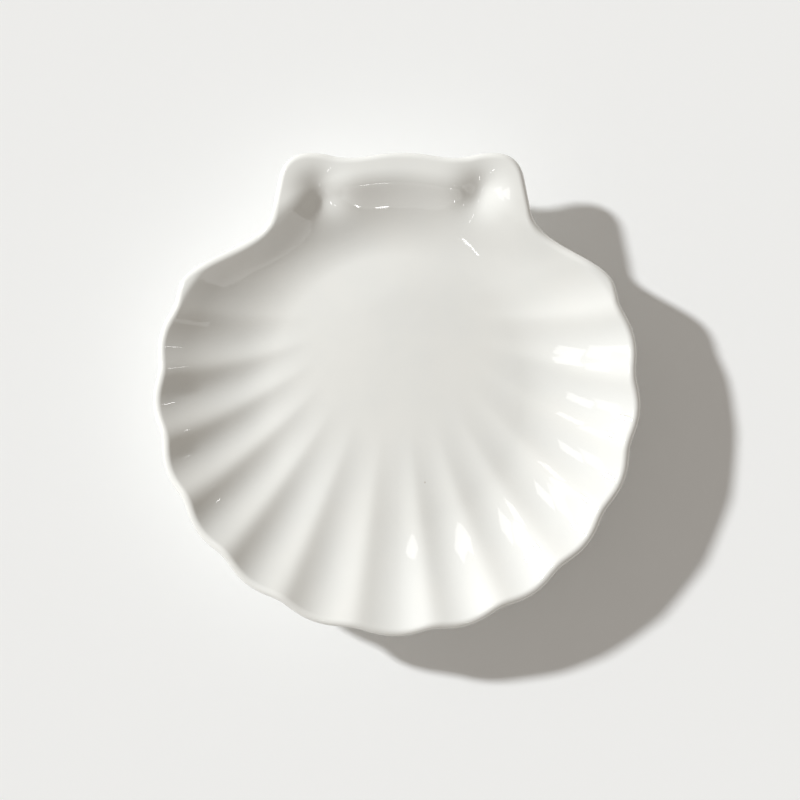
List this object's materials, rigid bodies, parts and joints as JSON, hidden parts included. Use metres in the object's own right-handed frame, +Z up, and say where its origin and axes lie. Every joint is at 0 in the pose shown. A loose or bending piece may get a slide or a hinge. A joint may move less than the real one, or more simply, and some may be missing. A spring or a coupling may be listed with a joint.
{
  "type": "shell dish",
  "caption": "Shallow glazed porcelain serving dish shaped as a scallop shell, with a fluted fan, a wavy hinge edge, small ears and a foot ring.",
  "frame": {"origin": "on the table under the middle of the dish, at the height of the foot ring's flat face", "axes": "+Z up out of the dish, +Y towards the hinge, +X to the right when the hinge is at the back"},
  "size_m": [0.1305, 0.1294, 0.0216],
  "materials": {
    "white_glaze": "polished",
    "foot_porcelain": "matte"
  },
  "bodies": {
    "root": {"shell_bowl": "white_glaze", "foot_ring": "foot_porcelain"}
  },
  "joints": []
}
